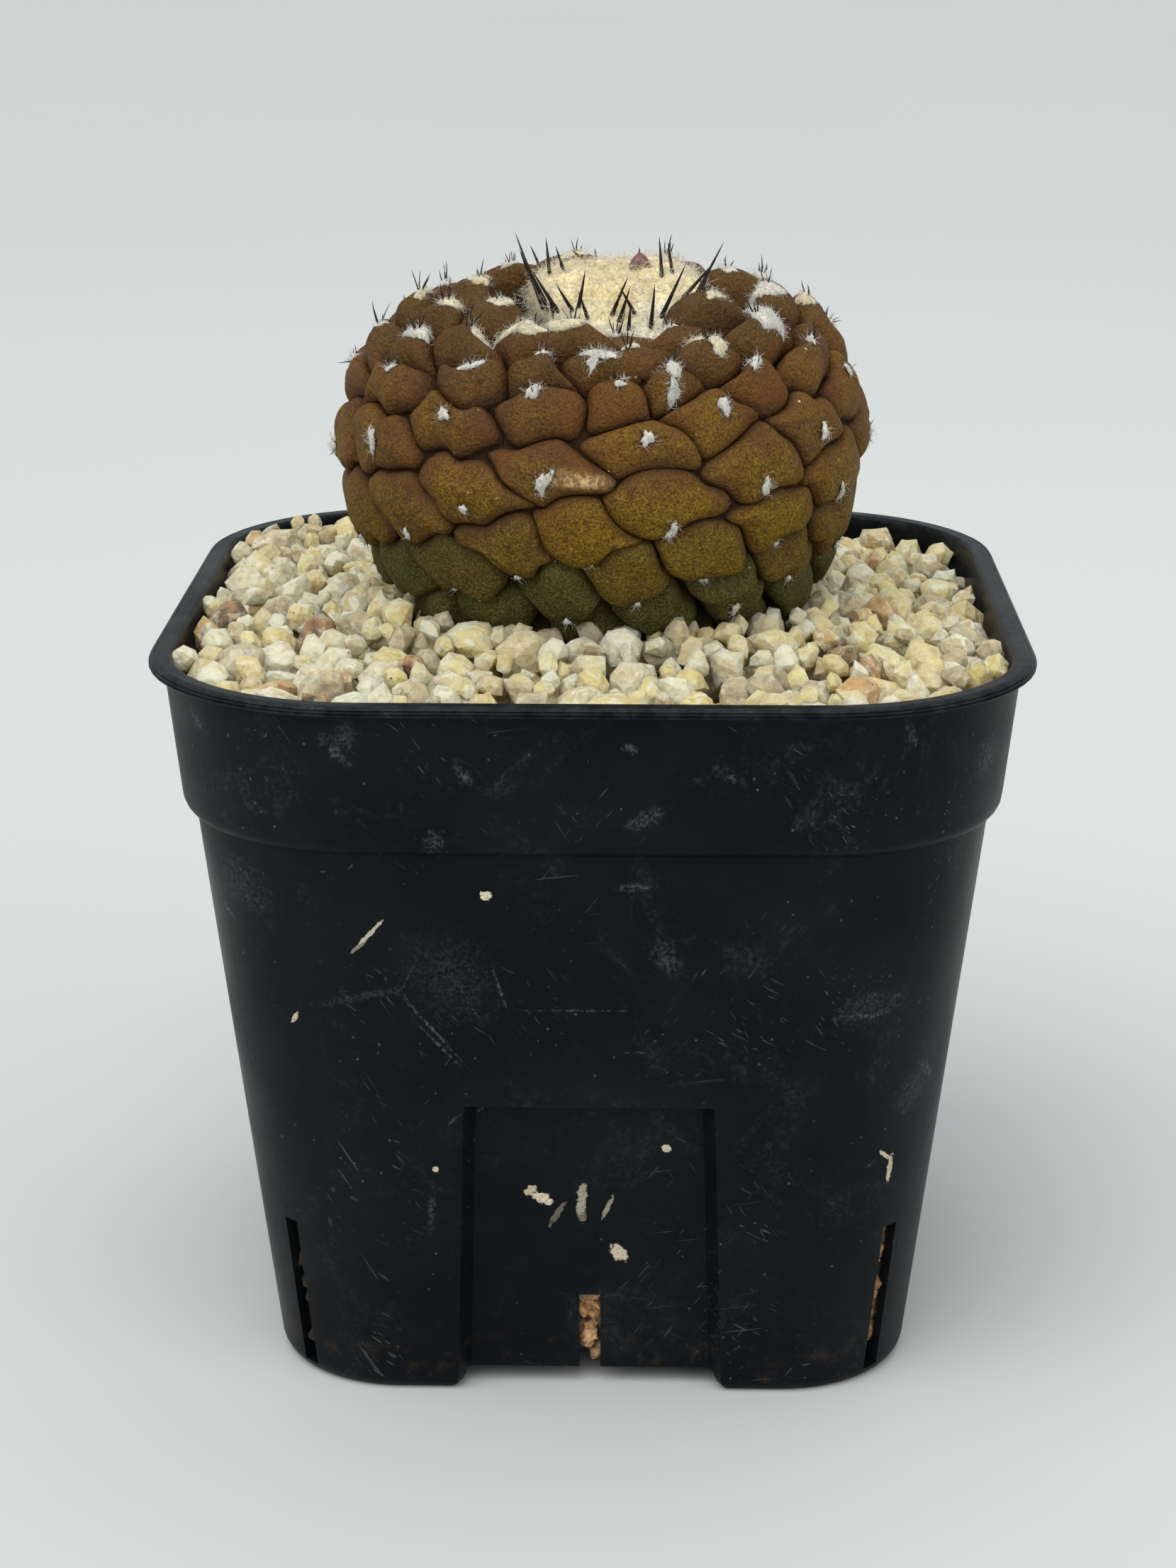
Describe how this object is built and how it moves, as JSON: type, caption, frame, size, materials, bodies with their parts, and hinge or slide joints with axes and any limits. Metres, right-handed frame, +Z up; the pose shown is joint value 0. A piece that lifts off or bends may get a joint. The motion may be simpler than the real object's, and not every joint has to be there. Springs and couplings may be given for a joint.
{
  "type": "potted copiapoa hypogaea",
  "caption": "Squat brown-green cactus with spiralled tubercles and a woolly crown, in a square black nursery pot topped with quartz gravel.",
  "frame": {"origin": "middle of the pot's footprint, on the surface that it stands on", "axes": "+Z up through the plant, front of the pot towards -Y, +X to the right"},
  "size_m": [0.09, 0.09, 0.1176],
  "materials": {
    "pot_plastic": "semi-gloss moulded polypropylene, scuffed and dusty",
    "substrate": "coarse brown mineral and bark mix, matt",
    "gravel": "angular quartz grains, cream, grey and amber, slightly translucent",
    "cactus_skin": "finely granular matt plant skin, reddish brown to olive",
    "wool": "dense cream plant wool with straight black spines"
  },
  "bodies": {
    "root": {"pot": "pot_plastic", "substrate": "substrate", "gravel_topdressing": "gravel", "cactus_body": "cactus_skin", "crown_wool": "wool"}
  },
  "joints": []
}
